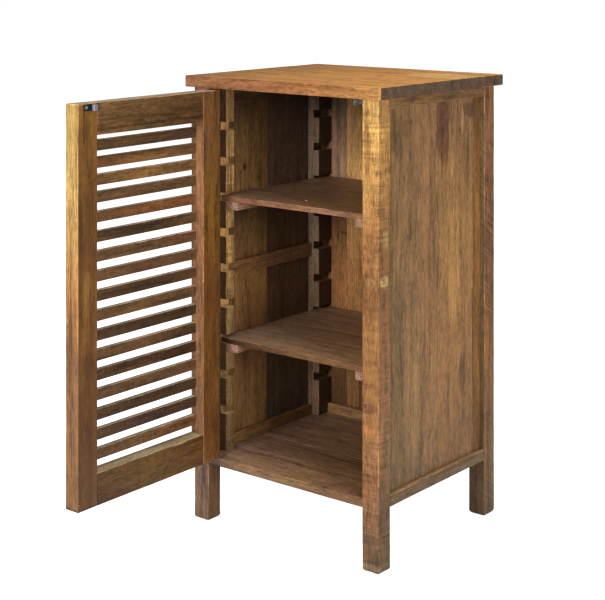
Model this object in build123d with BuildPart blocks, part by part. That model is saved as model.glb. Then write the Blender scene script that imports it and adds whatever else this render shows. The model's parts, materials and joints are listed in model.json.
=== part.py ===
from build123d import *
import os

# A small floor-standing cabinet in solid wood: four corner posts that run down as legs, boarded sides
# and back, two shelves in notched battens, and a slatted door that stands open by a quarter turn.
# Millimetres. The origin is on the floor, at the centre of the footprint. -Y is the front, +X the
# right-hand side and +Z up.

os.makedirs("parts", exist_ok=True)

# ---- driving dimensions -------------------------------------------------------------------------

WIDTH = 411
DEPTH = 362
HEIGHT = 800
POST = 34
FOOT_EASE = 2.5

TOP_THICK = 20
TOP_OVERHANG_X = 12.5
TOP_OVERHANG_Y = 13
TOP_SEAM_Y = 118
TOP_CORNER = 5

BOARD = 11  # thickness of the side and back boards
SIDE_RECESS = 9  # the side boards lie this far inside the posts' outer faces
BACK_RECESS = 4
SIDE_LIP = 9.5  # thickness of the side rails' inner lip
BACK_LIP = 14
RAIL_BOTTOM = 103
RAIL_LEDGE = 20  # height of a bottom rail's outer part
TOP_RAIL_LEDGE = 18
RAIL_LIP = 35  # height of a rail's inner lip
RAIL_BEVEL = 3
RAIL_TENON = 12
MIDDLE_RAIL = (429, 454)

FLOOR_BOARD = (104, 119.5)  # bottom and top of the cabinet's bottom boards
FLOOR_SEAM_Y = -28

BATTEN_WIDE = 22
BATTEN_IN = 158.3  # inner faces of the battens, from the middle
BATTEN_TOP = 775
NOTCH_COUNT = 9
NOTCH_FIRST = 187
NOTCH_PITCH = 64.2
NOTCH_HIGH = 14.5

SHELF_THICK = 10
SHELF_PLAY = 1  # gap between a shelf's end and the bottom of its notch
SHELF_DEPTH = 312
SHELF_LEVELS = {"lower": 2, "upper": 6}
CLEAT_WIDE = 26
CLEAT_HIGH = 14.5
CLEAT_END = 158  # a cleat's outer side, from the middle
CLEAT_LONG = 306

DOOR_GAP = 1.5
DOOR_THICK = 30
DOOR_PROUD = 2  # the closed door's face in front of the posts
DOOR_BOTTOM = 121
DOOR_TOP = 777
STILE = 43
DOOR_RAIL_TOP = 53.5
DOOR_RAIL_BOTTOM = 53
DOOR_TENON = (20, 9)  # length and thickness
SLAT_COUNT = 17
SLAT_HIGH = 18.8
SLAT_THICK = 9.5
SLAT_INSET = 2.5  # from the door's outer face
SLAT_TENON = 8
NARROW_GAPS = 4  # the gaps above the first slats are narrower than the others
NARROW_GAP = 9.6

HINGE_HEIGHTS = (205, 693)
HINGE_HIGH = 50
LEAF_THICK = 1
LEAF_WIDE = 24
KNUCKLE_RADIUS = 2.2
PIN_RADIUS = 1.2
PIN_CLEARANCE = 0.05
KNUCKLE_GAP = 0.3
PIN_PROUD = 2.5  # the pin's axis in front of the posts' faces
PIN_HEAD = 1.5

CATCH_X = 141
CATCH_MOUTH_Y = -150.5
CATCH_LOW = 764
CATCH_SHEET = 1.2
STRIKE_LONG = 33.6
STRIKE_Z = (765, 776)

SCREW_HEAD = 2.8
SCREW_SHANK = 1.4
SCREW_SINK = 1.4
SCREW_LONG = 13

# ---- places worked out from them ----------------------------------------------------------------

HALF_X = WIDTH / 2
HALF_Y = DEPTH / 2
INNER_X = HALF_X - POST  # inner faces of the posts
INNER_Y = HALF_Y - POST
POST_TOP = HEIGHT - TOP_THICK
SIDE_OUT = HALF_X - SIDE_RECESS
SIDE_IN = SIDE_OUT - BOARD
SIDE_FACE = SIDE_IN - SIDE_LIP  # inner face of the side rails
BACK_OUT = HALF_Y - BACK_RECESS
BACK_IN = BACK_OUT - BOARD
BACK_FACE = BACK_IN - BACK_LIP
BOARD_Z = (RAIL_BOTTOM + RAIL_LEDGE, POST_TOP - TOP_RAIL_LEDGE)

PIN_X = -(INNER_X - DOOR_GAP / 2)
PIN_Y = -(HALF_Y + PIN_PROUD)
DOOR_WIDE = 2 * (INNER_X - DOOR_GAP)
# The door is drawn open by 90 degrees: its width runs forwards from the pin, its thickness to the right.
DOOR_OUT = PIN_X + PIN_PROUD - DOOR_PROUD
DOOR_IN = DOOR_OUT + DOOR_THICK
DOOR_HUNG = PIN_Y - DOOR_GAP / 2
DOOR_FREE = DOOR_HUNG - DOOR_WIDE
DOOR_MID = (DOOR_OUT + DOOR_IN) / 2
OPENING_Z = (DOOR_BOTTOM + DOOR_RAIL_BOTTOM, DOOR_TOP - DOOR_RAIL_TOP)
WIDE_GAP = (
    (OPENING_Z[1] - OPENING_Z[0] - SLAT_COUNT * SLAT_HIGH - NARROW_GAPS * NARROW_GAP)
    / (SLAT_COUNT + 1 - NARROW_GAPS)
)
STRIKE_Y = PIN_Y - (CATCH_X - PIN_X)
STRIKE_MID_Z = sum(STRIKE_Z) / 2


# ---- helpers ------------------------------------------------------------------------------------


def rectangle(x, y):
    """A rectangle in the current sketch, between two values on each axis."""
    with Locations(((x[0] + x[1]) / 2, (y[0] + y[1]) / 2)):
        Rectangle(abs(x[1] - x[0]), abs(y[1] - y[0]))


def block(x, y, z, mode=Mode.ADD):
    """A squared block in the current part, between two values on each axis."""
    with BuildSketch(Plane.XY.offset(z[0])) as outline:
        rectangle(x, y)
    extrude(outline.sketch, amount=z[1] - z[0], mode=mode)


def screws(places, mode=Mode.ADD):
    """Countersunk wood screws: the Z of each place points out of the head."""
    with Locations(*places):
        Cone(SCREW_SHANK, SCREW_HEAD, SCREW_SINK, align=(Align.CENTER, Align.CENTER, Align.MAX), mode=mode)
    with Locations(*[place * Location((0, 0, -SCREW_SINK)) for place in places]):
        Cylinder(SCREW_SHANK, SCREW_LONG, align=(Align.CENTER, Align.CENTER, Align.MAX), mode=mode)


def save(name, piece):
    piece.part.label = name
    export_step(piece.part, f"parts/{name}.step")


# ---- hinges -------------------------------------------------------------------------------------

LEAF_REACH = DOOR_GAP / 2 + LEAF_THICK
LEAF_ROOT = 1.2  # where a leaf runs into its knuckle, from the pin's axis
LEAF_END = LEAF_ROOT + LEAF_WIDE
THIRD = HINGE_HIGH / 6
HINGE_SCREW_Z = (-17, 0, 17)
FRAME_SCREWS = [
    Location((-INNER_X, PIN_Y + 0.64 * LEAF_WIDE, height + dz), (0, 90, 0))
    for height in HINGE_HEIGHTS
    for dz in HINGE_SCREW_Z
]
DOOR_SCREWS = [
    Location((PIN_X + 0.64 * LEAF_WIDE, DOOR_HUNG, height + dz), (-90, 0, 0))
    for height in HINGE_HEIGHTS
    for dz in HINGE_SCREW_Z
]


def frame_leaves(mode=Mode.ADD):
    """The leaves let into the post, without their knuckles."""
    for height in HINGE_HEIGHTS:
        block(
            (PIN_X - LEAF_REACH, PIN_X - DOOR_GAP / 2),
            (PIN_Y + LEAF_ROOT, PIN_Y + LEAF_END),
            (height - HINGE_HIGH / 2, height + HINGE_HIGH / 2),
            mode,
        )


def door_leaves(mode=Mode.ADD):
    """The leaves let into the door's hinge edge, without their knuckles."""
    for height in HINGE_HEIGHTS:
        block(
            (PIN_X + LEAF_ROOT, PIN_X + LEAF_END),
            (PIN_Y - LEAF_REACH, PIN_Y - DOOR_GAP / 2),
            (height - HINGE_HIGH / 2, height + HINGE_HIGH / 2),
            mode,
        )


def barrel(low, high, radius, mode=Mode.ADD):
    """A round stretch on the hinges' axis, between two heights."""
    with BuildSketch(Plane.XY.offset(low)) as section:
        with Locations((PIN_X, PIN_Y)):
            Circle(radius)
    extrude(section.sketch, amount=high - low, mode=mode)


# The post's leaves carry the two outer knuckles, the door's leaves the middle one.
with BuildPart() as hinge_leaves_frame:
    frame_leaves()
    for height in HINGE_HEIGHTS:
        for side in (-1, 1):
            barrel(*sorted((height + side * THIRD, height + side * HINGE_HIGH / 2)), KNUCKLE_RADIUS)
        barrel(height - THIRD, height + THIRD, KNUCKLE_RADIUS + KNUCKLE_GAP, Mode.SUBTRACT)
        barrel(
            height - HINGE_HIGH / 2,
            height + HINGE_HIGH / 2,
            PIN_RADIUS + PIN_CLEARANCE,
            Mode.SUBTRACT,
        )
    screws(FRAME_SCREWS, Mode.SUBTRACT)
save("hinge_leaves_frame", hinge_leaves_frame)

with BuildPart() as hinge_leaves_door:
    door_leaves()
    for height in HINGE_HEIGHTS:
        barrel(height - THIRD + KNUCKLE_GAP, height + THIRD - KNUCKLE_GAP, KNUCKLE_RADIUS)
        for side in (-1, 1):
            ends = sorted((height + side * (THIRD - KNUCKLE_GAP), height + side * HINGE_HIGH / 2))
            barrel(*ends, KNUCKLE_RADIUS + KNUCKLE_GAP, Mode.SUBTRACT)
        barrel(
            height - HINGE_HIGH / 2,
            height + HINGE_HIGH / 2,
            PIN_RADIUS + PIN_CLEARANCE,
            Mode.SUBTRACT,
        )
    screws(DOOR_SCREWS, Mode.SUBTRACT)
save("hinge_leaves_door", hinge_leaves_door)

with BuildPart() as hinge_pins:
    for height in HINGE_HEIGHTS:
        top = height + HINGE_HIGH / 2
        barrel(height - HINGE_HIGH / 2, top, PIN_RADIUS)
        barrel(top, top + PIN_HEAD, 0.9 * KNUCKLE_RADIUS)
save("hinge_pins", hinge_pins)

# ---- spring catch -------------------------------------------------------------------------------
# A steel base plate under the top board with two spring arms that hang from it. The arms narrow
# towards the front and then flare into a mouth, which takes the tongue of the door's strike.

CATCH_PLATE_HALF = 16
CATCH_PLATE_Y = (CATCH_MOUTH_Y + 4.5, CATCH_MOUTH_Y + 24.5)
CATCH_SCREWS = [
    Location((CATCH_X + side * 12, sum(CATCH_PLATE_Y) / 2, POST_TOP - CATCH_SHEET), (180, 0, 0))
    for side in (-1, 1)
]
ARM_BACK = (6.6, CATCH_MOUTH_Y + 20.5)
ARM_NECK = (5.6, CATCH_MOUTH_Y + 3)
ARM_LIP = (8.6, CATCH_MOUTH_Y)


def catch_arm(side):
    """One spring arm, with its thickness on the outside."""
    inner = [(CATCH_X + side * dx, y) for dx, y in (ARM_BACK, ARM_NECK, ARM_LIP)]
    outer = [(x + side * CATCH_SHEET, y) for x, y in reversed(inner)]
    with BuildSketch(Plane.XY.offset(CATCH_LOW)) as arm:
        Polygon(*inner, *outer, align=None)
    extrude(arm.sketch, amount=POST_TOP - CATCH_SHEET - CATCH_LOW)


with BuildPart() as catch_body:
    block(
        (CATCH_X - CATCH_PLATE_HALF, CATCH_X + CATCH_PLATE_HALF),
        CATCH_PLATE_Y,
        (POST_TOP - CATCH_SHEET, POST_TOP),
    )
    for side in (-1, 1):
        catch_arm(side)
    block(
        (CATCH_X - ARM_BACK[0] - CATCH_SHEET, CATCH_X + ARM_BACK[0] + CATCH_SHEET),
        (ARM_BACK[1], ARM_BACK[1] + CATCH_SHEET),
        (CATCH_LOW, POST_TOP - CATCH_SHEET),
    )
    screws(CATCH_SCREWS, Mode.SUBTRACT)
save("catch_body", catch_body)

TONGUE_Z = (STRIKE_Z[0] + 0.5, STRIKE_Z[1] - 0.5)
TONGUE_NECK = 2.5
TONGUE_HEAD = 4.9
TONGUE_LONG = 10.8
STRIKE_FACE = DOOR_IN + CATCH_SHEET
STRIKE_SCREWS = [
    Location((STRIKE_FACE, STRIKE_Y + side * 12, STRIKE_MID_Z), (0, 90, 0)) for side in (-1, 1)
]

with BuildPart() as catch_strike:
    block((DOOR_IN, STRIKE_FACE), (STRIKE_Y - STRIKE_LONG / 2, STRIKE_Y + STRIKE_LONG / 2), STRIKE_Z)
    with BuildSketch(Plane.XY.offset(TONGUE_Z[0])):
        rectangle((STRIKE_FACE, STRIKE_FACE + 5), (STRIKE_Y - TONGUE_NECK, STRIKE_Y + TONGUE_NECK))
        with BuildSketch(mode=Mode.PRIVATE) as head:
            rectangle(
                (STRIKE_FACE + 4.5, STRIKE_FACE + TONGUE_LONG),
                (STRIKE_Y - TONGUE_HEAD, STRIKE_Y + TONGUE_HEAD),
            )
            chamfer(head.vertices(), 1.2)
        add(head.sketch)
    extrude(amount=TONGUE_Z[1] - TONGUE_Z[0])
    screws(STRIKE_SCREWS, Mode.SUBTRACT)
save("catch_strike", catch_strike)

with BuildPart() as screws_frame:
    screws(FRAME_SCREWS + CATCH_SCREWS)
save("screws_frame", screws_frame)

with BuildPart() as screws_door:
    screws(DOOR_SCREWS + STRIKE_SCREWS)
save("screws_door", screws_door)

# ---- notched battens ----------------------------------------------------------------------------
# One batten stands in each corner. Nine notches run through it from front to back, down to the line of
# the posts' inner faces. The rear battens reach past the rear posts to the back boards.

BATTENS = {}
for word, side in (("left", -1), ("right", 1)):
    for depth_word, y in (
        ("front", (-INNER_Y, -INNER_Y + BATTEN_WIDE)),
        ("rear", (INNER_Y - BATTEN_WIDE, INNER_Y)),
    ):
        reach = y if depth_word == "front" else (y[0], BACK_IN)
        with BuildPart() as batten:
            block(sorted((side * BATTEN_IN, side * SIDE_IN)), y, (FLOOR_BOARD[1], BATTEN_TOP))
            block(sorted((side * BATTEN_IN, side * INNER_X)), reach, (FLOOR_BOARD[1], BATTEN_TOP))
            for level in range(NOTCH_COUNT):
                z = NOTCH_FIRST + level * NOTCH_PITCH
                notch_x = sorted((side * BATTEN_IN, side * INNER_X))
                block(notch_x, reach, (z, z + NOTCH_HIGH), Mode.SUBTRACT)
        BATTENS[f"batten_{depth_word}_{word}"] = batten
for name, batten in BATTENS.items():
    save(name, batten)

# ---- carcass rails ------------------------------------------------------------------------------
# Each rail is rebated: an outer ledge that shows, and an inner lip that the boards are nailed to. The
# tenons at its ends go into the posts, and the lip stops at the battens.


def side_rail(side, low):
    """A rebated side rail: the bottom one has its lip upwards, the top one downwards."""
    with BuildPart() as rail:
        with BuildSketch(Plane.XZ.offset(-INNER_Y)):
            if low:
                z = (RAIL_BOTTOM, RAIL_BOTTOM + RAIL_LEDGE, RAIL_BOTTOM + RAIL_LIP)
            else:
                z = (POST_TOP, BOARD_Z[1], POST_TOP - RAIL_LIP)
            with BuildLine():
                Polyline(
                    (side * SIDE_FACE, z[0]),
                    (side * HALF_X, z[0]),
                    (side * HALF_X, z[1]),
                    (side * SIDE_IN, z[1]),
                    (side * SIDE_IN, z[2]),
                    (side * SIDE_FACE, z[2]),
                    close=True,
                )
            make_face()
        extrude(amount=2 * INNER_Y)
        if low:
            edges = rail.edges().filter_by(Axis.Y).group_by(Axis.Z)[1]
            chamfer(edges.sort_by(Axis.X)[-1 if side > 0 else 0], RAIL_BEVEL)
        middle = sorted((z[0], z[1]))
        for end in (-1, 1):
            block(
                sorted((side * (SIDE_IN + 1), side * (SIDE_OUT - 1))),
                sorted((end * INNER_Y, end * (INNER_Y + RAIL_TENON))),
                (middle[0] + 4, middle[1] - 4),
            )
    return rail


def rear_rail(low):
    """The back's rail, with the same section turned to the back."""
    with BuildPart() as rail:
        with BuildSketch(Plane.YZ.offset(-INNER_X)):
            if low:
                z = (RAIL_BOTTOM, RAIL_BOTTOM + RAIL_LEDGE, RAIL_BOTTOM + RAIL_LIP)
            else:
                z = (POST_TOP, BOARD_Z[1], POST_TOP - RAIL_LIP)
            with BuildLine():
                Polyline(
                    (BACK_FACE, z[0]),
                    (HALF_Y, z[0]),
                    (HALF_Y, z[1]),
                    (BACK_IN, z[1]),
                    (BACK_IN, z[2]),
                    (BACK_FACE, z[2]),
                    close=True,
                )
            make_face()
        extrude(amount=2 * INNER_X)
    return rail


RAILS = {}
for word, side in (("left", -1), ("right", 1)):
    RAILS[f"rail_{word}_bottom"] = side_rail(side, True)
    RAILS[f"rail_{word}_top"] = side_rail(side, False)
    with BuildPart() as middle_rail:
        block(sorted((side * SIDE_FACE, side * SIDE_IN)), (-INNER_Y, INNER_Y), MIDDLE_RAIL)
    RAILS[f"rail_{word}_middle"] = middle_rail
RAILS["rail_rear_bottom"] = rear_rail(True)
RAILS["rail_rear_top"] = rear_rail(False)
for name, rail in RAILS.items():
    with rail:
        for batten in BATTENS.values():
            add(batten.part, mode=Mode.SUBTRACT)
    save(name, rail)

# ---- posts --------------------------------------------------------------------------------------

for depth_word, front in (("front", -1), ("rear", 1)):
    for word, side in (("left", -1), ("right", 1)):
        with BuildPart() as post:
            x = sorted((side * INNER_X, side * HALF_X))
            y = sorted((front * INNER_Y, front * HALF_Y))
            block(x, y, (0, POST_TOP))
            chamfer(post.faces().sort_by(Axis.Z)[0].edges(), FOOT_EASE)
            add(RAILS[f"rail_{word}_bottom"].part, mode=Mode.SUBTRACT)
            add(RAILS[f"rail_{word}_top"].part, mode=Mode.SUBTRACT)
            if (depth_word, word) == ("front", "left"):
                frame_leaves(Mode.SUBTRACT)
                screws(FRAME_SCREWS, Mode.SUBTRACT)
        save(f"post_{depth_word}_{word}", post)

# ---- side and back boards -----------------------------------------------------------------------


def board(corners, plane, depth):
    """An upright board from its four corners on the given plane."""
    with BuildPart() as piece:
        with BuildSketch(plane):
            Polygon(*corners, align=None)
        extrude(amount=depth)
    return piece


def side_boards(word, side, seams):
    """Upright boards between the posts; each seam is its Y at the foot and at the top."""
    edges = [(-INNER_Y, -INNER_Y), *seams, (INNER_Y, INNER_Y)]
    for number, (front, back) in enumerate(zip(edges, edges[1:]), start=1):
        corners = [
            (front[0], BOARD_Z[0]),
            (back[0], BOARD_Z[0]),
            (back[1], BOARD_Z[1]),
            (front[1], BOARD_Z[1]),
        ]
        piece = board(corners, Plane.YZ.offset(side * SIDE_IN), side * BOARD)
        save(f"side_board_{word}_{number}", piece)


side_boards("left", -1, [(-2, 2)])
side_boards("right", 1, [(8, 2), (118, 122)])

BACK_SEAMS = [-INNER_X, -121, 25, INNER_X]
for number, (left, right) in enumerate(zip(BACK_SEAMS, BACK_SEAMS[1:]), start=1):
    with BuildPart() as back_board:
        block((left, right), (BACK_IN, BACK_OUT), BOARD_Z)
    save(f"back_board_{number}", back_board)

# ---- top and bottom -----------------------------------------------------------------------------

TOP_X = HALF_X + TOP_OVERHANG_X
TOP_Y = HALF_Y + TOP_OVERHANG_Y

with BuildPart() as top_board_front:
    block((-TOP_X, TOP_X), (-TOP_Y, TOP_SEAM_Y), (POST_TOP, HEIGHT))
    fillet(top_board_front.edges().filter_by(Axis.Z).group_by(Axis.Y)[0], TOP_CORNER)
    screws(CATCH_SCREWS, Mode.SUBTRACT)
save("top_board_front", top_board_front)

with BuildPart() as top_board_rear:
    block((-TOP_X, TOP_X), (TOP_SEAM_Y, TOP_Y), (POST_TOP, HEIGHT))
    fillet(top_board_rear.edges().filter_by(Axis.Z).group_by(Axis.Y)[-1], TOP_CORNER)
save("top_board_rear", top_board_rear)

with BuildPart() as bottom_board_front:
    block((-INNER_X, INNER_X), (-HALF_Y, -INNER_Y), FLOOR_BOARD)
    block((-SIDE_FACE, SIDE_FACE), (-INNER_Y, FLOOR_SEAM_Y), FLOOR_BOARD)
save("bottom_board_front", bottom_board_front)

with BuildPart() as bottom_board_rear:
    block((-SIDE_FACE, SIDE_FACE), (FLOOR_SEAM_Y, INNER_Y), FLOOR_BOARD)
    block((-INNER_X, INNER_X), (INNER_Y, BACK_FACE), FLOOR_BOARD)
save("bottom_board_rear", bottom_board_rear)

# ---- shelves ------------------------------------------------------------------------------------

SHELF_X = INNER_X - SHELF_PLAY

for word, level in SHELF_LEVELS.items():
    z = NOTCH_FIRST + level * NOTCH_PITCH
    with BuildPart() as shelf:
        block((-SHELF_X, SHELF_X), (-INNER_Y, -INNER_Y + SHELF_DEPTH), (z, z + SHELF_THICK))
    save(f"shelf_{word}", shelf)
    with BuildPart() as shelf_cleats:
        for side in (-1, 1):
            block(
                sorted((side * CLEAT_END, side * (CLEAT_END - CLEAT_WIDE))),
                (-INNER_Y, -INNER_Y + CLEAT_LONG),
                (z - CLEAT_HIGH, z),
            )
    save(f"shelf_cleats_{word}", shelf_cleats)

# ---- door ---------------------------------------------------------------------------------------

SLAT_X = (DOOR_OUT + SLAT_INSET, DOOR_OUT + SLAT_INSET + SLAT_THICK)
TENON_X = (DOOR_MID - DOOR_TENON[1] / 2, DOOR_MID + DOOR_TENON[1] / 2)
RAIL_Y = (DOOR_FREE + STILE, DOOR_HUNG - STILE)


def slat_heights():
    """The bottom of each slat, from the top one down."""
    z = OPENING_Z[1]
    for number in range(SLAT_COUNT):
        z -= (NARROW_GAP if number < NARROW_GAPS else WIDE_GAP) + SLAT_HIGH
        yield z


DOOR_INSERTS = {}
for name, z in (
    ("door_rail_top", (OPENING_Z[1], DOOR_TOP)),
    ("door_rail_bottom", (DOOR_BOTTOM, OPENING_Z[0])),
):
    with BuildPart() as door_rail:
        block((DOOR_OUT, DOOR_IN), RAIL_Y, z)
        block(TENON_X, (RAIL_Y[0] - DOOR_TENON[0], RAIL_Y[1] + DOOR_TENON[0]), (z[0] + 8, z[1] - 8))
        if name == "door_rail_top":
            screws(STRIKE_SCREWS, Mode.SUBTRACT)
    DOOR_INSERTS[name] = door_rail
for number, z in enumerate(slat_heights(), start=1):
    with BuildPart() as slat:
        block(SLAT_X, (RAIL_Y[0] - SLAT_TENON, RAIL_Y[1] + SLAT_TENON), (z, z + SLAT_HIGH))
    DOOR_INSERTS[f"door_slat_{number:02d}"] = slat
for name, piece in DOOR_INSERTS.items():
    save(name, piece)

with BuildPart() as door_stile_hinge:
    block((DOOR_OUT, DOOR_IN), (DOOR_HUNG - STILE, DOOR_HUNG), (DOOR_BOTTOM, DOOR_TOP))
    for piece in DOOR_INSERTS.values():
        add(piece.part, mode=Mode.SUBTRACT)
    door_leaves(Mode.SUBTRACT)
    for height in HINGE_HEIGHTS:
        ends = (height - HINGE_HIGH / 2 - KNUCKLE_GAP, height + HINGE_HIGH / 2 + PIN_HEAD + KNUCKLE_GAP)
        barrel(*ends, KNUCKLE_RADIUS + KNUCKLE_GAP, Mode.SUBTRACT)
    screws(DOOR_SCREWS, Mode.SUBTRACT)
save("door_stile_hinge", door_stile_hinge)

with BuildPart() as door_stile_latch:
    block((DOOR_OUT, DOOR_IN), (DOOR_FREE, DOOR_FREE + STILE), (DOOR_BOTTOM, DOOR_TOP))
    for piece in DOOR_INSERTS.values():
        add(piece.part, mode=Mode.SUBTRACT)
    screws(STRIKE_SCREWS, Mode.SUBTRACT)
save("door_stile_latch", door_stile_latch)
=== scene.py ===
# %% [markdown]
# # A slatted-door cabinet in old solid wood
#
# This script dresses a small floor-standing cabinet: square posts that run down as legs, boarded sides,
# two shelves in notched battens and a slatted door that stands open. The CAD frame holds every piece at
# its real size and place. Here each board gets what a workshop gives it: eased and worn edges, faces
# that aren't quite flat, and its own stretch of timber with its own colour.

# %% Load the frame
import json
import math

import bmesh
import bpy
from mathutils import Matrix, Vector, noise


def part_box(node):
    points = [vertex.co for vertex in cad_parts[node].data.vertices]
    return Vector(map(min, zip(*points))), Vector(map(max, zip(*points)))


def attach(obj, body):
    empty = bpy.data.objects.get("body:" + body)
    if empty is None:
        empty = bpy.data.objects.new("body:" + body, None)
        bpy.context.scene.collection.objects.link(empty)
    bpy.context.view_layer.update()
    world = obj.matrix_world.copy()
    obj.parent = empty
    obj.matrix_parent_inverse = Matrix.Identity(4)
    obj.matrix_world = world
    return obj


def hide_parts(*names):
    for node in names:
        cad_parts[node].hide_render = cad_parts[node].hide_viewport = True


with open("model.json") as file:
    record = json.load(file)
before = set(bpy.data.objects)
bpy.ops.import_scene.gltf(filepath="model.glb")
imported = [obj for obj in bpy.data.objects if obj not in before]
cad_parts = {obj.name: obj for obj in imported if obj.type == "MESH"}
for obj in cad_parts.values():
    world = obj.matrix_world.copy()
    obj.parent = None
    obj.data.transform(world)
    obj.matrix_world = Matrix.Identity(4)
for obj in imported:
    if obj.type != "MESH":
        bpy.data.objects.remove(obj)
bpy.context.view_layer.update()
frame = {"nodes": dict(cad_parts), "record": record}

RECORD = frame["record"]
BODY_OF = {node: body for body, nodes in RECORD["behaviour"]["bodies"].items() for node in nodes}
print("nodes in the frame:", len(frame["nodes"]))

# %% [markdown]
# ## Building shader trees in code
#
# A material is a tree of nodes joined by links. In the editor the links are drawn by hand; in code four
# small helpers keep the trees short enough to read: one adds a node, one does arithmetic, one mixes two
# colours and one turns a value into a soft mask.

# %% Shader helpers
def linear(colour):
    """An sRGB colour in six hex digits, as the linear colour that the renderer works in."""
    parts = [int(colour[i : i + 2], 16) / 255 for i in (0, 2, 4)]
    return tuple(c / 12.92 if c <= 0.04045 else ((c + 0.055) / 1.055) ** 2.4 for c in parts) + (1.0,)


def shader(tree, kind, inputs=None, **settings):
    """Adds a node. Each input is a socket to link from, or a value to set."""
    made = tree.nodes.new(kind)
    for key, value in settings.items():
        setattr(made, key, value)
    for key, value in (inputs or {}).items():
        if isinstance(value, bpy.types.NodeSocket):
            tree.links.new(value, made.inputs[key])
        else:
            made.inputs[key].default_value = value
    return made


def calc(tree, operation, first, second=0.0, clamp=False):
    """One sum on one or two values."""
    node = shader(tree, "ShaderNodeMath", {0: first, 1: second}, operation=operation, use_clamp=clamp)
    return node.outputs[0]


def vector_calc(tree, operation, first, second):
    """One sum on two vectors."""
    return shader(tree, "ShaderNodeVectorMath", {0: first, 1: second}, operation=operation).outputs[0]


def mix(tree, amount, first, second, blend="MIX"):
    """Goes from the first colour to the second as the amount goes from 0 to 1."""
    inputs = {0: amount, 6: first, 7: second}
    return shader(tree, "ShaderNodeMix", inputs, data_type="RGBA", blend_type=blend).outputs[2]


def soft_mask(tree, value, low, high):
    """0 below low, 1 above high, and a smooth step between them."""
    inputs = {"Value": value, "From Min": low, "From Max": high}
    return shader(tree, "ShaderNodeMapRange", inputs, interpolation_type="SMOOTHSTEP").outputs[0]


def cloud(tree, place, stretch, detail=2.0, roughness=0.5, lacunarity=2.0):
    """Noise on a place stretched along its three axes. Gives the node, for its value or its colour."""
    stretched = vector_calc(tree, "MULTIPLY", place, stretch)
    inputs = {"Vector": stretched, "Scale": 1.0, "Detail": detail, "Roughness": roughness}
    inputs["Lacunarity"] = lacunarity
    return shader(tree, "ShaderNodeTexNoise", inputs)


# %% [markdown]
# ## What sawn timber looks like
#
# Wood is a bundle of tubes. Along the grain its colour hardly changes, across the grain it changes every
# millimetre, so nearly all of its look is noise that is stretched along the board: broad streaks where
# one year's growth meets the next, fine fibres, and pores, which are short dark dashes. The saw leaves
# marks straight across the grain, and figured wood has soft bars there too. All of that is one group,
# shared by every wooden piece. Its place input has the grain along the first axis.

# %% The timber group
def new_group(name, inputs, outputs):
    """An empty shader group with named sockets, with its input and output nodes."""
    group = bpy.data.node_groups.new(name, "ShaderNodeTree")
    for label, kind, value in inputs:
        socket = group.interface.new_socket(label, in_out="INPUT", socket_type=kind)
        if value is not None:
            socket.default_value = value
    for label, kind in outputs:
        group.interface.new_socket(label, in_out="OUTPUT", socket_type=kind)
    return group, group.nodes.new("NodeGroupInput"), group.nodes.new("NodeGroupOutput")


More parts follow.
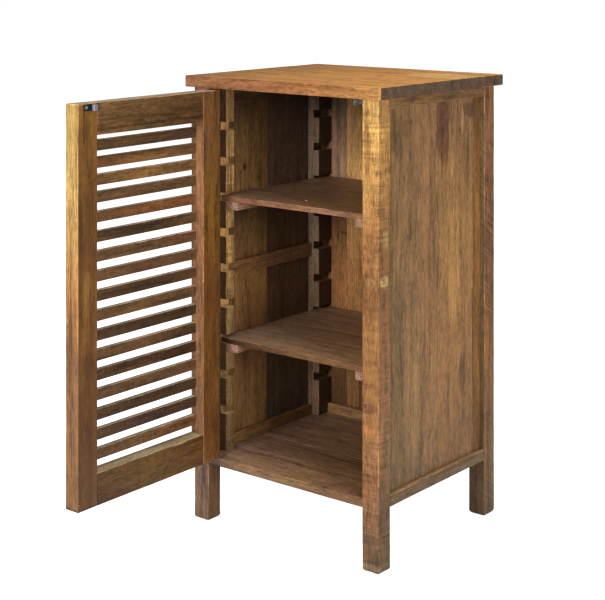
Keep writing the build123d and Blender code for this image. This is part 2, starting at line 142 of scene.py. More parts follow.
def timber_group():
    """Grain, pores, figure and saw marks over a ground colour."""
    numbers = {"Streaks": 0.6, "Fibres": 0.6, "Flecks": 0.6, "Figure": 0.1}
    numbers.update({"Saw Marks": 0.15, "Blotches": 0.6, "Saw Slant": 0.0})
    group, given, result = new_group(
        "timber",
        [
            ("Place", "NodeSocketVector", None),
            ("Facing", "NodeSocketVector", None),
            ("Ground", "NodeSocketColor", None),
            ("Dark Grain", "NodeSocketColor", None),
            ("End Grain", "NodeSocketColor", (0.085, 0.05, 0.032, 1.0)),
            *[(label, "NodeSocketFloat", value) for label, value in numbers.items()],
        ],
        [("Color", "NodeSocketColor"), ("Roughness", "NodeSocketFloat"), ("Height", "NodeSocketFloat")],
    )
    place = given.outputs["Place"]
    # The tree didn't grow straight, so everything below is bent sideways a little.
    sway = cloud(group, place, (3.5, 9, 9), detail=1.0).outputs["Color"]
    sway = vector_calc(group, "SUBTRACT", sway, (0.5,) * 3)
    sway = vector_calc(group, "MULTIPLY", sway, (0, 0.03, 0.03))
    bent = vector_calc(group, "ADD", place, sway)

    streak = cloud(group, bent, (3.0, 85, 85), detail=5.0, roughness=0.65).outputs[0]
    fibre = cloud(group, bent, (22, 480, 480), detail=3.0, roughness=0.6).outputs[0]
    pore = cloud(group, bent, (70, 900, 900), detail=1.0).outputs[0]
    fleck = cloud(group, bent, (80, 340, 340), detail=4.0, roughness=0.75).outputs[0]
    blotch = cloud(group, bent, (17, 60, 60), detail=6.0, roughness=0.72).outputs[0]
    figure = cloud(group, bent, (110, 22, 22), detail=3.0, roughness=0.6).outputs[0]
    saw_place = vector_calc(group, "ADD", place, vector_calc(group, "MULTIPLY", sway, (0.4, 0, 0)))
    # A slanted saw leaves marks that climb across the face.
    inputs = {0: place, 1: (0, 1, 1)}
    sideways = shader(group, "ShaderNodeVectorMath", inputs, operation="DOT_PRODUCT").outputs["Value"]
    climb = calc(group, "MULTIPLY", sideways, given.outputs["Saw Slant"])
    climb = shader(group, "ShaderNodeCombineXYZ", {0: climb}).outputs[0]
    saw_place = vector_calc(group, "ADD", saw_place, climb)
    saw = cloud(group, saw_place, (280, 9, 9), detail=2.0, roughness=0.7).outputs[0]
    saw_there = soft_mask(group, cloud(group, place, (14, 30, 30), detail=1.0).outputs[0], 0.42, 0.62)

    def swing(value, strength, reach):
        """A value's swing about its middle, scaled by an input of the group."""
        centred = calc(group, "SUBTRACT", value, 0.5)
        return calc(group, "MULTIPLY", calc(group, "MULTIPLY", centred, reach), given.outputs[strength])

    light = calc(group, "ADD", 1.0, swing(streak, "Streaks", 2.6))
    light = calc(group, "ADD", light, swing(fibre, "Fibres", 2.0))
    light = calc(group, "ADD", light, swing(fleck, "Flecks", 4.0))
    light = calc(group, "ADD", light, swing(blotch, "Blotches", 2.2))
    light = calc(group, "ADD", light, swing(figure, "Figure", 1.8))
    saw_swing = calc(group, "MULTIPLY", swing(saw, "Saw Marks", 2.2), saw_there)
    light = calc(group, "MAXIMUM", calc(group, "ADD", light, saw_swing), 0.25)
    shaded = vector_calc(group, "SCALE", given.outputs["Ground"], (0, 0, 0))
    group.links.new(light, shaded.node.inputs["Scale"])

    dark_streak = calc(group, "MULTIPLY", soft_mask(group, streak, 0.46, 0.30), given.outputs["Streaks"])
    dark_pore = calc(group, "MULTIPLY", soft_mask(group, pore, 0.62, 0.72), given.outputs["Fibres"])
    darkness = calc(group, "MULTIPLY", calc(group, "MAXIMUM", dark_streak, dark_pore), 0.8)
    colour = mix(group, darkness, shaded, given.outputs["Dark Grain"])

    # Across the ends of the tubes the wood drinks more stain and takes a colour of its own.
    ends = shader(group, "ShaderNodeSeparateXYZ", {0: given.outputs["Facing"]}).outputs
    end_grain = soft_mask(group, ends[0], 0.75, 0.95)
    ends_shaded = vector_calc(group, "SCALE", given.outputs["End Grain"], (0, 0, 0))
    group.links.new(light, ends_shaded.node.inputs["Scale"])
    colour = mix(group, calc(group, "MULTIPLY", end_grain, 0.95), colour, ends_shaded)

    # Sharp corners are made pale, more in some places than in others: partly wear from hands and brooms,
    # partly a painted highlight along the arrises.
    across = calc(group, "MAXIMUM", calc(group, "MAXIMUM", ends[0], ends[1]), ends[2])
    corner = soft_mask(group, calc(group, "SUBTRACT", 1.0, across), 0.05, 0.25)
    wear_and_highlight_spots = soft_mask(group, cloud(group, place, (22, 40, 40), detail=2.0).outputs[0], 0.32, 0.68)
    worn_and_highlit_colour = mix(group, 1.0, colour, (2.0, 1.85, 1.7, 1.0), "MULTIPLY")
    colour = mix(group, calc(group, "MULTIPLY", corner, wear_and_highlight_spots), colour, worn_and_highlit_colour)

    rough = calc(group, "ADD", 0.40, calc(group, "MULTIPLY", streak, 0.22))
    rough = calc(group, "ADD", rough, calc(group, "MULTIPLY", end_grain, 0.2), clamp=True)
    height = calc(group, "MULTIPLY", fibre, 0.4)
    height = calc(group, "ADD", height, calc(group, "MULTIPLY", dark_pore, -0.5))
    height = calc(group, "ADD", height, calc(group, "MULTIPLY", saw_swing, 0.9))
    height = calc(group, "ADD", height, swing(figure, "Figure", 0.35))
    group.links.new(colour, result.inputs["Color"])
    group.links.new(rough, result.inputs["Roughness"])
    group.links.new(height, result.inputs["Height"])
    return group


TIMBER = timber_group()
print("timber group:", len(TIMBER.nodes), "nodes")

# %% [markdown]
# ## One material per board
#
# Old timber is never one colour. A board from the edge of the tree is yellow at one end and red at the
# other, and the stain takes it unevenly. So each board gets a list of tones along its length, as a
# painter would note them, and a few stains: soft patches with a place, a size and a colour, such as a
# knot, a tongue of heartwood or a darker band. A solid texture on Object coordinates carries the pattern
# round every corner of the board, the way the real grain runs through it.

# %% Wood materials
LAY = {"x": (0, 1, 2), "y": (1, 0, 2), "z": (2, 0, 1)}  # the grain's axis first, then the two across it
seeds = {}


def reorder(tree, vector, lay):
    """The same vector with the grain's axis first."""
    parts = shader(tree, "ShaderNodeSeparateXYZ", {0: vector}).outputs
    inputs = {number: parts[axis] for number, axis in enumerate(LAY[lay])}
    return shader(tree, "ShaderNodeCombineXYZ", inputs).outputs[0]


def ramp(tree, value, tones):
    """A colour ramp through (station, colour) pairs."""
    node = shader(tree, "ShaderNodeValToRGB", {0: value})
    stops = node.color_ramp.elements
    while len(stops) < len(tones):
        stops.new(0.5)
    for stop, (station, colour) in zip(stops, sorted(tones)):
        stop.position = station
        stop.color = linear(colour)
    return node.outputs[0]


def lay_stain(tree, ground, place, wobble, stain):
    """One soft patch: its centre and its half sizes in millimetres, its colour and its strength."""
    centre, half, colour, strength = stain
    offset = vector_calc(tree, "SUBTRACT", place, tuple(c / 1000 for c in centre))
    offset = vector_calc(tree, "MULTIPLY", offset, tuple(1000 / h for h in half))
    reach = shader(tree, "ShaderNodeVectorMath", {0: offset}, operation="LENGTH").outputs["Value"]
    reach = calc(tree, "ADD", reach, wobble)
    mask = calc(tree, "MULTIPLY", soft_mask(tree, reach, 1.15, 0.65), strength)
    return mix(tree, mask, ground, linear(colour))


def wood(
    name,
    node,
    lay,
    tones,
    dark,
    side_tones=None,
    stains=(),
    end_grain="4a3626",
    upper=None,
    wander=0.35,
    **grain,
):
    """The material of one board.

    Tones run along its grain, from its low end to its high end. Side tones do the same on the faces that
    look along the first axis across the grain, and the upper tone, a flat painted highlight, is for those
    that look along the second.
    """
    material = bpy.data.materials.new(name)
    material.use_nodes = True
    tree = material.node_tree
    principled = tree.nodes["Principled BSDF"]
    object_place = shader(tree, "ShaderNodeTexCoord").outputs["Object"]
    seed = seeds.setdefault(name, len(seeds) + 1)
    shift = (0.37 * seed, 0.61 * (seed % 7), 0.43 * (seed % 5))
    place = vector_calc(tree, "ADD", reorder(tree, object_place, lay), shift)
    facing = shader(tree, "ShaderNodeAttribute", attribute_name="facing").outputs["Vector"]
    facing_lay = reorder(tree, facing, lay)

    low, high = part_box(node)
    axis = LAY[lay][0]
    along = shader(tree, "ShaderNodeSeparateXYZ", {0: object_place}).outputs[axis]
    inputs = {"Value": along, "From Min": low[axis], "From Max": high[axis]}
    station = shader(tree, "ShaderNodeMapRange", inputs).outputs[0]
    drift = cloud(tree, place, (7, 26, 26), detail=2.0).outputs[0]
    drift = calc(tree, "MULTIPLY", calc(tree, "SUBTRACT", drift, 0.5), wander)
    station = calc(tree, "ADD", station, drift, clamp=True)
    ground = ramp(tree, station, tones)
    if side_tones:
        turned = shader(tree, "ShaderNodeSeparateXYZ", {0: facing_lay}).outputs[1]
        ground = mix(tree, soft_mask(tree, turned, 0.6, 0.8), ground, ramp(tree, station, side_tones))
    # painted highlight: one flat pale tone on the faces that look along the second axis across the grain
    if upper:
        turned = shader(tree, "ShaderNodeSeparateXYZ", {0: facing_lay}).outputs[2]
        ground = mix(tree, soft_mask(tree, turned, 0.6, 0.8), ground, linear(upper))
    if stains:
        wobble = cloud(tree, place, (45, 70, 70), detail=3.0, roughness=0.6).outputs[0]
        wobble = calc(tree, "MULTIPLY", calc(tree, "SUBTRACT", wobble, 0.5), 1.3)
        for stain in stains:
            ground = lay_stain(tree, ground, object_place, wobble, stain)

    inputs = {"Place": place, "Facing": facing_lay, "Ground": ground, "Dark Grain": linear(dark)}
    inputs["End Grain"] = linear(end_grain)
    timber = shader(tree, "ShaderNodeGroup", node_tree=TIMBER)
    for key, value in inputs.items():
        if isinstance(value, bpy.types.NodeSocket):
            tree.links.new(value, timber.inputs[key])
        else:
            timber.inputs[key].default_value = value
    for key, value in grain.items():
        timber.inputs[key.replace("_", " ").title()].default_value = value
    tree.links.new(timber.outputs["Color"], principled.inputs["Base Color"])
    tree.links.new(timber.outputs["Roughness"], principled.inputs["Roughness"])
    bump = shader(tree, "ShaderNodeBump", {"Height": timber.outputs["Height"], "Strength": 0.6})
    bump.inputs["Distance"].default_value = 0.0006
    tree.links.new(bump.outputs[0], principled.inputs["Normal"])
    principled.inputs["Specular IOR Level"].default_value = 0.3
    principled.inputs["Coat Weight"].default_value = 0.05
    principled.inputs["Coat Roughness"].default_value = 0.35
    return material


# %% [markdown]
# ## Turning a CAD solid into a worn board
#
# The frame's solids have knife edges and dead flat faces. A board that has been sawn by hand and used
# for years has neither. Each wooden node is copied, its triangles are dissolved back into whole faces,
# its outside edges are bevelled, and planes cut it into short stretches so that it has points to move.
# Then every point moves a little: faces wander by a few tenths of a millimetre, and corners are worn
# back where the noise is high. Every face also notes which way it faces, for the end grain and the
# pale corners in the material, which are partly wear and partly a painted highlight.

# %% Board modelling
GRID = 0.016  # length of the stretches that a board is cut into
FACE_WANDER = 0.00022
CORNER_WEAR = 0.0011


def solid_copy(node):
    """A bmesh of a CAD node, with whole faces instead of triangles."""
    bm = bmesh.new()
    bm.from_mesh(frame["nodes"][node].data)
    bmesh.ops.remove_doubles(bm, verts=bm.verts, dist=1e-6)
    bmesh.ops.dissolve_limit(bm, angle_limit=math.radians(2), verts=bm.verts, edges=bm.edges)
    return bm


def solid_block(low, high):
    """A bmesh of a squared block between two corners."""
    bm = bmesh.new()
    middle = Matrix.Translation((Vector(low) + Vector(high)) / 2)
    size = Vector(high) - Vector(low)
    bmesh.ops.create_cube(bm, size=1.0, matrix=middle @ Matrix.Diagonal((*size, 1.0)))
    return bm


def ease(bm, width, segments=2):
    """Bevels the sharp outward edges."""
    outward = [e for e in bm.edges if e.is_manifold and e.is_convex]
    sharp = [e for e in outward if e.calc_face_angle() > math.radians(40)]
    bmesh.ops.bevel(
        bm,
        geom=sharp,
        offset=width,
        offset_type="OFFSET",
        segments=segments,
        profile=0.5,
        affect="EDGES",
        material=-1,
        clamp_overlap=True,
    )


def cut_into_stretches(bm, step=GRID):
    """Cuts the whole solid by planes, so that long faces have points to move."""
    for axis in range(3):
        places = [v.co[axis] for v in bm.verts]
        low, high = min(places), max(places)
        count = int((high - low) / step)
        for number in range(1, count):
            point, normal = Vector(), Vector()
            point[axis] = low + (high - low) * number / count
            normal[axis] = 1.0
            everything = bm.verts[:] + bm.edges[:] + bm.faces[:]
            bmesh.ops.bisect_plane(bm, geom=everything, dist=1e-6, plane_co=point, plane_no=normal)


def weather(bm, seed, wear=CORNER_WEAR, wander=FACE_WANDER):
    """Moves every point inwards: a little on the faces, more on the worn corners."""
    bm.normal_update()
    offset = Vector((seed * 1.7, seed * 0.9, seed * 2.3))
    moves = []
    for vert in bm.verts:
        direction = vert.normal
        corner = min(1.0, (1.0 - max(abs(c) for c in direction)) / 0.29)
        slow = noise.noise(vert.co * 14 + offset)
        quick = noise.noise(vert.co * 60 + offset)
        worn = max(0.0, slow * 0.7 + quick * 0.6)
        moves.append(-direction * (wander * (0.5 + 0.5 * slow) + wear * corner * worn))
    for vert, move in zip(bm.verts, moves):
        vert.co += move


def to_object(bm, name, material, node, smooth=20):
    """Makes the finished bmesh an object that rides with its node's body and stands for the node."""
    bm.normal_update()
    for edge in bm.edges:
        edge.smooth = edge.is_manifold and edge.calc_face_angle(0.0) < math.radians(smooth)
    for face in bm.faces:
        face.smooth = True
    mesh = bpy.data.meshes.new(name)
    bm.to_mesh(mesh)
    bm.free()
    facing = mesh.attributes.new("facing", "FLOAT_VECTOR", "FACE")
    for polygon in mesh.polygons:
        facing.data[polygon.index].vector = [abs(c) for c in polygon.normal]
    mesh.materials.append(material)
    piece = bpy.data.objects.new(name, mesh)
    bpy.context.scene.collection.objects.link(piece)
    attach(piece, BODY_OF[node])
    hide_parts(node)
    return piece


def round_the_foot(bm, width):
    """Rounds the four lowest edges, where a leg is dragged over the floor."""
    floor = min(v.co.z for v in bm.verts) + 1e-4
    lowest = [e for e in bm.edges if all(v.co.z < floor for v in e.verts)]
    bmesh.ops.bevel(
        bm,
        geom=lowest,
        offset=width,
        offset_type="OFFSET",
        segments=3,
        profile=0.5,
        affect="EDGES",
        material=-1,
    )


def board(node, material, edge=1.2, wear=1.0, block=False, step=GRID, foot=0.0):
    """A worn board in the place of a CAD node."""
    bm = solid_block(*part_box(node)) if block else solid_copy(node)
    if foot:
        round_the_foot(bm, foot / 1000)
    ease(bm, edge / 1000)
    cut_into_stretches(bm, step)
    weather(bm, seeds.setdefault(node, len(seeds) + 1), wear * CORNER_WEAR)
    return to_object(bm, f"{node}.wood", material, node)


# %% [markdown]
# ## The posts
#
# The four posts are also the legs. They are the most handled pieces, so their corners are the roundest
# and their feet are scuffed. The right front post shows two faces: its front is honey yellow at the top
# and goes through orange to a reddish brown at the foot, while its right side is a duller olive brown.

# %% Posts
def post(node, tones, side_tones, foot=4.0, **look):
    material = wood(f"{node}.timber", node, "z", tones, side_tones=side_tones, **look)
    piece = board(node, material, edge=1.8, wear=1.6, block=True, foot=foot)
    print(node, len(piece.data.polygons), "faces")


post(
    "post_front_right",
    [(0.0, "604830"), (0.12, "805838"), (0.4, "986838"), (0.72, "986838"), (0.9, "d0a058"), (1, "c8a058")],
    [(0.0, "685030"), (0.15, "705030"), (0.3, "886038"), (0.66, "805830"), (0.9, "b88848"), (1, "a88048")],
    dark="4a2c16",
    end_grain="4a3626",
    streaks=0.35,
    figure=0.6,
    saw_marks=0.9,
    blotches=0.6,
    wander=0.2,
    stains=[
        ((205, -165, 477), (8, 11, 11), "b89a5c", 0.9),
        ((205, -163, 549), (8, 12, 14), "a88a52", 0.6),
        ((190, -181, 477), (10, 6, 9), "c8a060", 0.8),
        ((188, -185, 455), (16, 12, 60), "7a4c2a", 0.6),
        ((182, -185, 700), (8, 12, 70), "8a5c2a", 0.7),
        ((188, -185, 345), (22, 10, 7), "743f22", 0.5),
        ((186, -185, 308), (20, 10, 5), "6e4024", 0.5),
        ((190, -185, 271), (22, 10, 9), "5c3620", 0.6),
        ((184, -185, 230), (14, 10, 16), "b06c38", 0.5),
        ((190, -185, 156), (22, 10, 8), "6c3c22", 0.5),
        ((182, -185, 130), (14, 10, 12), "a06236", 0.4),
        ((188, -185, 55), (22, 10, 12), "54402e", 0.6),
        ((186, -180, 8), (26, 16, 7), "927a5a", 0.5),
    ],
)
post(
    "post_front_left",
    [(0.0, "806448"), (0.08, "987860"), (1, "906848")],
    [(0.0, "705030"), (0.12, "604830"), (1, "785838")],
    dark="3c2818",
)
post(
    "post_rear_right",
    [(0.0, "584430"), (0.12, "604830"), (1, "705838")],
    [(0.0, "685030"), (0.45, "885c30"), (0.62, "785030"), (1, "885c38")],
    dark="3e2a18",
    foot=6.0,
    saw_marks=1.1,
    saw_slant=0.6,
)
post(
    "post_rear_left",
    [(0.0, "60482f"), (0.5, "6e5138"), (1, "80603e")],
    [(0.0, "6a5036"), (0.5, "7a5834"), (1, "865e3a")],
    dark="3e2a18",
    saw_marks=0.6,
    # painted shadow: the dark strip that the rear-left batten casts beside it
    stains=[((-188, 147, 450), (30, 8, 400), "34261b", 0.9)],
)

# %% [markdown]
# ## The carcass rails
#
# The side and back rails are rebated, with the boards standing behind their outer ledge. They are cut
# from greyer wood than the panels, and their top corners catch the light. The left top rail's dark
# tones are painted shade from the top above it.

# %% Carcass rails
for rail, tones, side_tones in (
    ("rail_right_bottom", [(0.0, "947550"), (1, "84684a")], [(0.0, "70583c"), (1, "6e563a")]),
    ("rail_right_top", [(0.0, "8a6640"), (1, "7c5c3a")], [(0.0, "866238"), (1, "745434")]),
    ("rail_right_middle", [(0.0, "8a6440"), (1, "7a5838")], None),
    ("rail_left_bottom", [(0.0, "a27c52"), (1, "8c6844")], [(0.0, "94703f"), (1, "7a5838")]),
    # painted shade: the left top rail is made dark for the shade under the top board
    ("rail_left_top", [(0.0, "4c3826"), (1, "3a2c20")], None),
    (
        "rail_left_middle",
        [(0.0, "a87848"), (1, "866040")],
        [(0.0, "986c40"), (0.55, "745438"), (1, "6c5840")],
    ),
):
    board(rail, wood(f"{rail}.timber", rail, "y", tones, "38240f", side_tones))
for rail in ("rail_rear_bottom", "rail_rear_top"):
    board(rail, wood(f"{rail}.timber", rail, "x", [(0.0, "9a7248"), (1, "86603c")], "38240f"))

# %% [markdown]
# ## The side and back boards
#
# Three boards make the right side, two the left side and three the back. They were picked from what was
# at hand, so each has its own colour, and stains lay olive, tan and orange bands along the right ones.
# Inside, the left boards and the first two back boards carry painted shade under the top and, on most
# of them, under the shelves, with painted light just above the shelves, while their outer faces have
# one plain tone.

# %% Side and back boards
def panel_board(node, tones, stains=(), **look):
    board(node, wood(f"{node}.timber", node, "z", tones, stains=stains, **look), edge=0.8)


RIGHT = 196.5  # outer face of the right side boards, from the middle
panel_board(
    "side_board_right_1",
    [(0.0, "785c3c"), (0.25, "8c6840"), (1, "886440")],
    dark="46341a",
    stains=[
        ((RIGHT, -136, 440), (30, 12, 420), "60502c", 0.7),
        ((RIGHT, -108, 300), (30, 18, 200), "6e5834", 0.6),
        ((RIGHT, -112, 715), (30, 24, 40), "5a4224", 0.6),
        ((RIGHT, -24, 420), (30, 20, 330), "9c6c40", 0.5),
        ((RIGHT, -62, 240), (30, 14, 90), "9a7448", 0.6),
    ],
)
panel_board(
    "side_board_right_2",
    [(0.0, "805c38"), (0.25, "986c40"), (0.7, "987040"), (1, "886040")],
    dark="46321a",
    stains=[
        ((RIGHT, 24, 738), (30, 25, 36), "5c3822", 0.75),
        ((RIGHT, 24, 688), (30, 24, 40), "5c3822", 0.75),
        ((RIGHT, 120, 742), (30, 40, 16), "4e3620", 0.6),
        ((RIGHT, 48, 716), (30, 3, 44), "b0885a", 0.7),
        ((RIGHT, 52, 640), (30, 3, 26), "a8804e", 0.7),
        ((RIGHT, 88, 722), (30, 5, 26), "a08058", 0.6),
        ((RIGHT, 66, 538), (30, 4, 9), "4c2e1c", 0.9),
        ((RIGHT, 55, 480), (30, 24, 110), "ae8048", 0.5),
        ((RIGHT, 84, 270), (30, 9, 40), "54401f", 0.6),
        ((RIGHT, 100, 640), (30, 12, 110), "745634", 0.5),
    ],
)
panel_board(
    "side_board_right_3",
    [(0.0, "6c4c2c"), (0.25, "845c30"), (0.8, "885c30"), (1, "6c4c2c")],
    dark="3a220f",
)
EVERYWHERE = 4000  # reaches past both ends of any board
# painted shade and light: the tones go dark under the lower shelf, the upper shelf and the top, and light
# just above each shelf
panel_board(
    "side_board_left_1",
    [(0.0, "a07848"), (0.3, "886440"), (0.45, "a87c48"), (0.67, "584430"), (0.72, "a88050"), (1, "383020")],
    dark="3e2a14",
    wander=0.15,
    stains=[
        ((-190, -65, 624), (20, 6, 9), "452610", 0.9),
        ((-190, -120, 690), (20, 12, 60), "6e4e2a", 0.6),
        ((-RIGHT, 0, 400), (8, 900, EVERYWHERE), "7a5c3c", 0.85),
    ],
)
# painted shade and light: the tones are dark overall for the shade at the back of the compartments, darkest
# under the upper shelf and the top, and lighter just above the upper shelf
panel_board(
    "side_board_left_2",
    [(0.0, "504838"), (0.4, "644c34"), (0.67, "382c20"), (0.72, "705c50"), (1, "383028")],
    dark="2a1c12",
    wander=0.15,
    stains=[((-RIGHT, 0, 400), (8, 900, EVERYWHERE), "58432f", 0.85)],
)
back_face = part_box("back_board_1")[1][1] * 1000
BACK_OUTSIDE = ((0, back_face, 400), (900, 7, EVERYWHERE), "86613c", 0.85)
# painted shade and light: the tones go dark just under the upper shelf and under the top, and light just
# above the shelf; they are also darker at the foot
panel_board(
    "back_board_1",
    [(0.0, "584028"), (0.4, "b07848"), (0.66, "5c4028"), (0.7, "b08868"), (1, "282018")],
    dark="3c2614",
    wander=0.12,
    stains=[
        ((-131, 160, 474), (13, 20, 4), "523824", 0.8),
        ((-142, 160, 465), (4, 20, 9), "523824", 0.7),
        # painted shadow: the dark strip that the rear-left batten casts on the back board
        ((-183, 164, 440), (20, 9, 500), "34261b", 0.9),
        BACK_OUTSIDE,
    ],
)
# painted light and shade: the tones are bright just above the upper shelf and dark under the top
panel_board(
    "back_board_2",
    [(0.0, "886038"), (0.5, "b07c48"), (0.76, "d8a464"), (1, "504020")],
    dark="5a3a1a",
    stains=[BACK_OUTSIDE],
)
panel_board(
    "back_board_3",
    [(0.0, "8a6038"), (0.5, "a4743e"), (1, "b08248")],
    dark="4a3018",
    stains=[BACK_OUTSIDE],
)

# %% [markdown]
# ## Top and bottom
#
# The top is the best wood in the piece: two wide planks of a warm honey orange, planed and waxed. Its
# front edge is redder, and its sawn ends have gone dark grey, because end grain drinks the stain.

# %% Top and bottom boards
TOP_TONES = [(0.0, "a07038"), (0.3, "b88040"), (0.75, "cc8c44"), (1, "cc9048")]
TOP_EDGE = [(0.0, "946442"), (0.4, "9c6640"), (0.6, "a0683c"), (1, "ac7840")]
for plank in ("top_board_front", "top_board_rear"):
    pale_corner = [((160, 95, 800), (90, 60, 12), "e2b474", 0.6)]
    look = {"stains": pale_corner, "end_grain": "514032", "wander": 0.5}
    material = wood(f"{plank}.timber", plank, "x", TOP_TONES, "5c3616", TOP_EDGE, **look)
    board(plank, material, edge=2.0, step=0.02)
FLOOR_EDGE = [(0.0, "7c6048"), (0.5, "806040"), (1, "6c4c30")]
for plank in ("bottom_board_front", "bottom_board_rear"):
    tones = [(0.0, "947460"), (0.5, "947050"), (1, "745438")]
    material = wood(f"{plank}.timber", plank, "x", tones, "38241a", FLOOR_EDGE, blotches=0.8)
    board(plank, material, edge=1.2)

# %% [markdown]
# ## Shelves, cleats and notched battens
#
# The shelves rest in notches that are sawn right through the battens. The battens were left nearly raw,
# with the marks of the saw still on them: the front ones are light tan on the side that faces the
# compartments, and the rear ones are dark there. The front ones' front faces are painted dark, a
# painted shadow of the door.

# %% Shelves and battens
SHELF_EDGES = {
    "shelf_upper": [(0.0, "8c5c40"), (0.44, "8c6048"), (0.7, "ac7c5c"), (1, "8c5c3c")],
    "shelf_lower": [(0.0, "3c2014"), (0.5, "705030"), (1, "7c5030")],
}
for shelf, edge_tones in SHELF_EDGES.items():
    # partly painted sheen: the top tones are greyed a little for reflected light, over the wood's own
    # colour
    tones = [(0.0, "947860"), (0.8, "987450"), (1, "8c6840")]
    material = wood(f"{shelf}.timber", shelf, "x", tones, "462a1c", edge_tones, blotches=0.8)
    board(shelf, material, edge=0.9)
for cleats in ("shelf_cleats_upper", "shelf_cleats_lower"):
    tones = [(0.0, "a88068"), (0.2, "8a6448"), (1, "745036")]
    board(cleats, wood(f"{cleats}.timber", cleats, "y", tones, "44281a", end_grain="a07a64"), edge=0.9)
BATTEN_LOOKS = {
    "front": {
        # painted shadow: the door's shade on the front battens' front faces
        "tones": [(0.0, "5c442e"), (0.5, "60442c"), (1, "644934")],
        "side_tones": [
            (0.0, "74583c"),
            (0.35, "a08050"),
            (0.55, "cca060"),
            (0.84, "c09860"),
            (1, "846844"),
        ],
        "end_grain": "d8bc8e",
    },
    "rear": {
        "tones": [(0.0, "8c6c50"), (0.76, "947c64"), (1, "544030")],
        "side_tones": [(0.0, "4c3828"), (0.4, "38281c"), (1, "30241c")],
        "end_grain": "725c44",
    },
}
for batten in ("batten_front_left", "batten_front_right", "batten_rear_left", "batten_rear_right"):
    look = BATTEN_LOOKS[batten.split("_")[1]]
    material = wood(f"{batten}.timber", batten, "z", dark="5c4022", saw_marks=0.9, **look)
    board(batten, material, edge=0.8)

# %% [markdown]
# One round nail head stands proud of the upper shelf, where it holds the batten below. It is a turned
# profile: a low dome on a straight rim.

# %% A nail head
def nail_head(name, place, radius, body):
    """A low dome: the radius falls as the height rises, ring by ring."""
    rings = ((0.0, 0.0), (1.0, 0.0), (1.0, 0.12), (0.9, 0.24), (0.62, 0.36), (0.0, 0.42))
    bm = bmesh.new()
    profile = [bm.verts.new((radius * across, 0.0, radius * up)) for across, up in rings]
    edges = [bm.edges.new(pair) for pair in zip(profile, profile[1:])]
    turned = {"cent": (0, 0, 0), "axis": (0, 0, 1), "angle": math.tau, "steps": 24, "use_merge": True}
    bmesh.ops.spin(bm, geom=profile + edges, **turned)
    bmesh.ops.remove_doubles(bm, verts=bm.verts, dist=1e-6)
    bmesh.ops.recalc_face_normals(bm, faces=bm.faces)
    bmesh.ops.translate(bm, verts=bm.verts, vec=place)
    mesh = bpy.data.meshes.new(name)
    bm.to_mesh(mesh)
    bm.free()
    mesh.polygons.foreach_set("use_smooth", [True] * len(mesh.polygons))
    piece = bpy.data.objects.new(name, mesh)
    bpy.context.scene.collection.objects.link(piece)
    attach(piece, body)
    return piece


shelf_low, shelf_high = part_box("shelf_upper")
NAIL_RADIUS = 0.0026
NAIL_X = -0.012
NAIL_INSET = 0.049  # behind the shelf's front edge
NAIL_SUNK = 0.0002
nail_place = (NAIL_X, shelf_low[1] + NAIL_INSET, shelf_high[2] - NAIL_SUNK)
nail = nail_head("shelf_nail", nail_place, NAIL_RADIUS, BODY_OF["shelf_upper"])

# %% [markdown]
# ## The door
#
# The door is a frame of two stiles and two rails, with seventeen slats let into the stiles. Seen from
# the inside its flat faces are dark, while the thickness of the latch stile, turned to the light, is
# pale honey at the top and goes brown towards the floor.

# %% Door frame
def door_upright(node, tones, side_tones, **look):
    material = wood(f"{node}.timber", node, "z", tones, side_tones=side_tones, **look)
    board(node, material, edge=1.4, wear=1.2, block=True)


door_upright(
    "door_stile_latch",
    [(0.0, "8a6038"), (0.3, "946840"), (0.5, "b88048"), (0.75, "cca460"), (1, "bc9858")],
    [(0.0, "604020"), (0.25, "603c1c"), (0.45, "744c20"), (0.65, "64401c"), (1, "7c5420")],
    dark="3a240f",
    end_grain="a08c72",
    flecks=0.4,
    wander=0.2,
    stains=[
        ((-140, -505, 470), (12, 12, 40), "94682e", 0.5),
        ((-150, -505, 118), (40, 40, 9), "4a2e1a", 0.8),
        ((-140, -500, 350), (12, 14, 26), "4e3218", 0.6),
    ],
)
door_upright(
    "door_stile_hinge",
    [(0.0, "886040"), (0.75, "a07048"), (1, "8c6440")],
    [(0.0, "704820"), (0.45, "6c441c"), (0.65, "7c5420"), (1, "6c4828")],
    dark="3c200f",
    end_grain="a08c72",
)
for rail, tones in {
    "door_rail_top": [(0.0, "7c5830"), (0.4, "644828"), (1, "5c3c20")],
    "door_rail_bottom": [(0.0, "503418"), (0.5, "644820"), (1, "643c1c")],
}.items():
    # the upper tone is a painted highlight on the rails' top and bottom faces
    material = wood(f"{rail}.timber", rail, "y", tones, dark="301c0c", upper="a8926f")
    board(rail, material, edge=1.4)

# %% [markdown]
# The slats are offcuts, rough from the saw. No two match: some are reddish, some yellow, some nearly
# black, and most change colour along their length.

# %% Door slats
SHADES = {
    "umber": "60442a",
    "olive": "6e5030",
    "rust": "744a2a",
    "tan": "866034",
    "plum": "4c342a",
    "soot": "46321f",
    "brick": "60402a",
}
SLATS = (
    ("umber", "umber", "plum"),
    ("rust", "tan", "umber"),
    ("umber", "tan", "olive"),
    ("olive", "umber", "umber"),
    ("olive", "rust", "rust"),
    ("umber", "soot", "umber"),
    ("olive", "umber", "brick"),
    ("olive", "brick", "umber"),
    ("umber", "soot", "umber"),
    ("umber", "olive", "umber"),
    ("umber", "soot", "soot"),
    ("olive", "umber", "soot"),
    ("umber", "umber", "soot"),
    ("umber", "umber", "umber"),
    ("umber", "soot", "soot"),
    ("umber", "plum", "soot"),
    ("umber", "olive", "rust"),
)
for number, shades in enumerate(SLATS, start=1):
    slat = f"door_slat_{number:02d}"
    tones = [(station / 2, SHADES[shade]) for station, shade in enumerate(shades)]
    # the upper tone is a painted highlight on the slats' top and bottom faces
    look = {"upper": "b8a48c", "wander": 0.6, "saw_marks": 0.7}
    board(slat, wood(f"{slat}.timber", slat, "y", tones, "2c1a10", **look), edge=0.9)
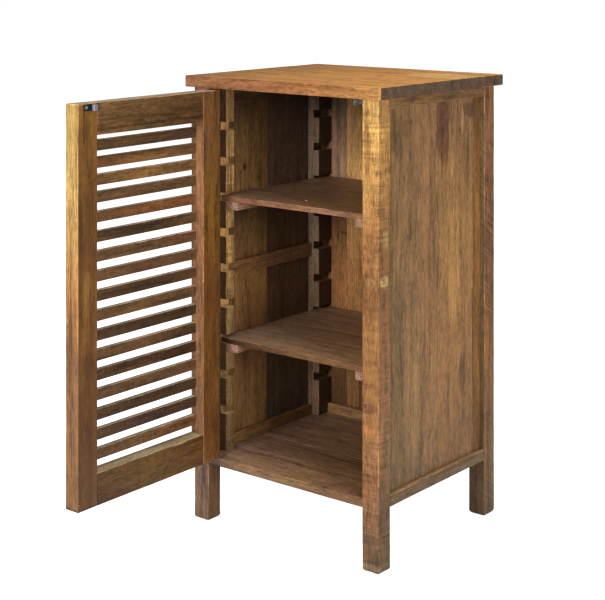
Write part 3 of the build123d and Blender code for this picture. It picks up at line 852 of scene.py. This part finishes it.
print("door slats:", number)

# %% [markdown]
# ## Steel fittings
#
# Two butt hinges hold the door, and a spring catch keeps it shut. Plain steel that has been handled for
# years isn't shiny: it is a dull grey with brown bloom in patches.

# %% Steel fittings
def steel(name, clean, bloom, rough, tip=None, metal=0.9):
    """Dulled steel: two colours in patches, with fine scratches in the roughness.

    A tip is a worn end: the X where it starts, in metres, and its colour.
    """
    material = bpy.data.materials.new(name)
    material.use_nodes = True
    tree = material.node_tree
    principled = tree.nodes["Principled BSDF"]
    place = shader(tree, "ShaderNodeTexCoord").outputs["Object"]
    patches = soft_mask(tree, cloud(tree, place, (260,) * 3, detail=4.0).outputs[0], 0.40, 0.62)
    colour = mix(tree, patches, linear(clean), linear(bloom))
    if tip:
        along = shader(tree, "ShaderNodeSeparateXYZ", {0: place}).outputs[0]
        worn = soft_mask(tree, along, tip[0] - 0.001, tip[0] + 0.001)
        colour = mix(tree, worn, colour, linear(tip[1]))
    tree.links.new(colour, principled.inputs["Base Color"])
    scratches = cloud(tree, place, (300, 2400, 2400), detail=2.0).outputs[0]
    roughness = calc(tree, "ADD", rough, calc(tree, "MULTIPLY", scratches, 0.25), clamp=True)
    tree.links.new(roughness, principled.inputs["Roughness"])
    bump = shader(tree, "ShaderNodeBump", {"Height": scratches, "Strength": 0.3})
    bump.inputs["Distance"].default_value = 0.0001
    tree.links.new(bump.outputs[0], principled.inputs["Normal"])
    principled.inputs["Metallic"].default_value = metal
    return material


DULL_STEEL = steel("dull_steel", "8a857c", "5c4c3c", 0.3)
WORN_TIP = 0.006  # how much of the tongue the catch has rubbed bright
tongue_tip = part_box("catch_strike")[1][0] - WORN_TIP
BLUED_STEEL = steel("blued_steel", "4a5260", "2c313c", 0.3, (tongue_tip, "b4b0b4"))
BRIGHT_STEEL = steel("bright_steel", "c4bec0", "958c84", 0.25)
nail.data.materials.append(steel("zinc_white", "f0ece6", "cfc8bc", 0.4, metal=0.2))
for fitting, material in {
    "hinge_leaves_frame": DULL_STEEL,
    "hinge_leaves_door": DULL_STEEL,
    "hinge_pins": DULL_STEEL,
    "screws_frame": BRIGHT_STEEL,
    "screws_door": BRIGHT_STEEL,
    "catch_body": BRIGHT_STEEL,
    "catch_strike": BLUED_STEEL,
}.items():
    slots = frame["nodes"][fitting].data.materials
    slots.clear()
    slots.append(material)

# %% [markdown]
# ## Floor, light and camera
#
# A white floor and a white surround. The main lamp is a large soft one that stands almost straight in
# front and no higher than a shoulder, so it reaches the back of the compartments and the door throws its
# shadow on the battens beside it. A second lamp stands far round to the right, and a weak one overhead.
# The surround is white where the camera looks at it but lights the room only gently.

# %% Floor and surround
def white_paint(name, glow_seen, glow_given):
    """Matt white paper, lit from behind: it looks brighter than the light it gives."""
    material = bpy.data.materials.new(name)
    material.use_nodes = True
    tree = material.node_tree
    paint = tree.nodes["Principled BSDF"]
    paint.inputs["Base Color"].default_value = (0.9, 0.9, 0.9, 1.0)
    paint.inputs["Roughness"].default_value = 1.0
    paint.inputs["Specular IOR Level"].default_value = 0.0
    paint.inputs["Emission Color"].default_value = (1.0, 1.0, 1.0, 1.0)
    looked_at = shader(tree, "ShaderNodeLightPath").outputs["Is Camera Ray"]
    glow = calc(tree, "ADD", glow_given, calc(tree, "MULTIPLY", looked_at, glow_seen - glow_given))
    tree.links.new(glow, paint.inputs["Emission Strength"])
    return material


floor_mesh = bpy.data.meshes.new("studio_floor")
bm = bmesh.new()
bmesh.ops.create_grid(bm, x_segments=1, y_segments=1, size=12)
bm.to_mesh(floor_mesh)
bm.free()
floor_mesh.materials.append(white_paint("studio_paint", 0.95, 0.05))
studio_floor = bpy.data.objects.new("studio_floor", floor_mesh)
bpy.context.scene.collection.objects.link(studio_floor)

world = bpy.data.worlds.new("studio")
bpy.context.scene.world = world
world.use_nodes = True
air = world.node_tree
background = air.nodes["Background"]
seen = shader(air, "ShaderNodeLightPath").outputs["Is Camera Ray"]
WORLD_SEEN, WORLD_LIGHT = 1.0, 0.17
strength = calc(air, "ADD", WORLD_LIGHT, calc(air, "MULTIPLY", seen, WORLD_SEEN - WORLD_LIGHT))
air.links.new(strength, background.inputs["Strength"])
background.inputs["Color"].default_value = (1.0, 1.0, 1.0, 1.0)


# %% Lamps
def soft_box(name, place, aim, size, power, colour=(1.0, 1.0, 1.0)):
    """A square area light that looks at a point."""
    lamp = bpy.data.lights.new(name, "AREA")
    lamp.size = size
    lamp.energy = power
    lamp.color = colour
    holder = bpy.data.objects.new(name, lamp)
    holder.location = place
    holder.rotation_euler = (Vector(aim) - Vector(place)).to_track_quat("-Z", "Y").to_euler()
    bpy.context.scene.collection.objects.link(holder)


soft_box("key_light", (0.30, -3.3, 1.35), (0.0, 0.0, 0.5), 1.1, 63)
soft_box("side_light", (2.8, -1.1, 1.2), (0.0, 0.0, 0.5), 1.2, 40)
soft_box("top_light", (0.3, -0.4, 3.2), (0.0, 0.0, 0.8), 1.5, 47)

# %% Camera
camera = bpy.data.cameras.new("camera")
camera.sensor_width = 36.0
camera.lens = 88.13
camera.shift_y = -0.5625
holder = bpy.data.objects.new("camera", camera)
holder.location = (1.6244, -2.1522, 1.0092)
holder.rotation_euler = (math.radians(90.0), 0.0, math.radians(38.69))
bpy.context.scene.collection.objects.link(holder)
bpy.context.scene.camera = holder
bpy.context.scene.view_settings.view_transform = "Standard"
